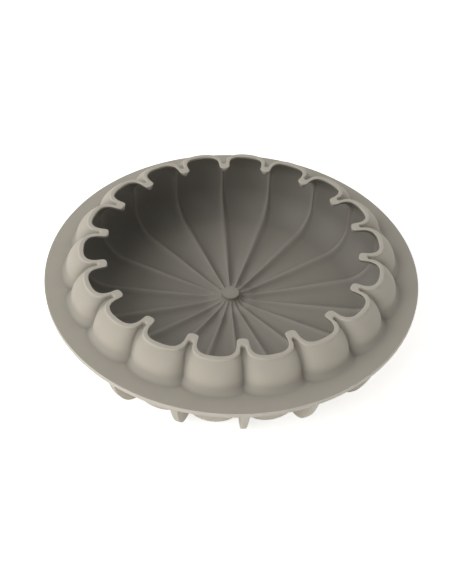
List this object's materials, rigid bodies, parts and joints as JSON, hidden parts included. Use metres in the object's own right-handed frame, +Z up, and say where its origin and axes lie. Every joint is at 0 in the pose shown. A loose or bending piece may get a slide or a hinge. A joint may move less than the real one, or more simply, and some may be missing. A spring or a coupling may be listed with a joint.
{
  "type": "silicone cake mould",
  "caption": "Round fluted silicone cake mould: ribbed bowl under a flat flange, scalloped wall leaning in to a nibbed lip, centre button and radial feet.",
  "frame": {"origin": "on the table under the middle of the mould, at the soles of the feet", "axes": "+Z up along the mould's axis, +X through the first foot and its nib"},
  "size_m": [0.26, 0.26, 0.0613],
  "materials": {
    "silicone": "matte"
  },
  "bodies": {
    "root": {"lower_bowl": "silicone", "flange_ring": "silicone", "petal_wall": "silicone", "rim_lip": "silicone", "centre_button": "silicone", "foot_01": "silicone", "foot_02": "silicone", "foot_03": "silicone", "foot_04": "silicone", "foot_05": "silicone", "foot_06": "silicone", "foot_07": "silicone", "foot_08": "silicone", "foot_09": "silicone", "foot_10": "silicone", "foot_11": "silicone", "foot_12": "silicone", "foot_13": "silicone", "foot_14": "silicone", "foot_15": "silicone", "foot_16": "silicone", "foot_17": "silicone", "foot_18": "silicone"}
  },
  "joints": []
}
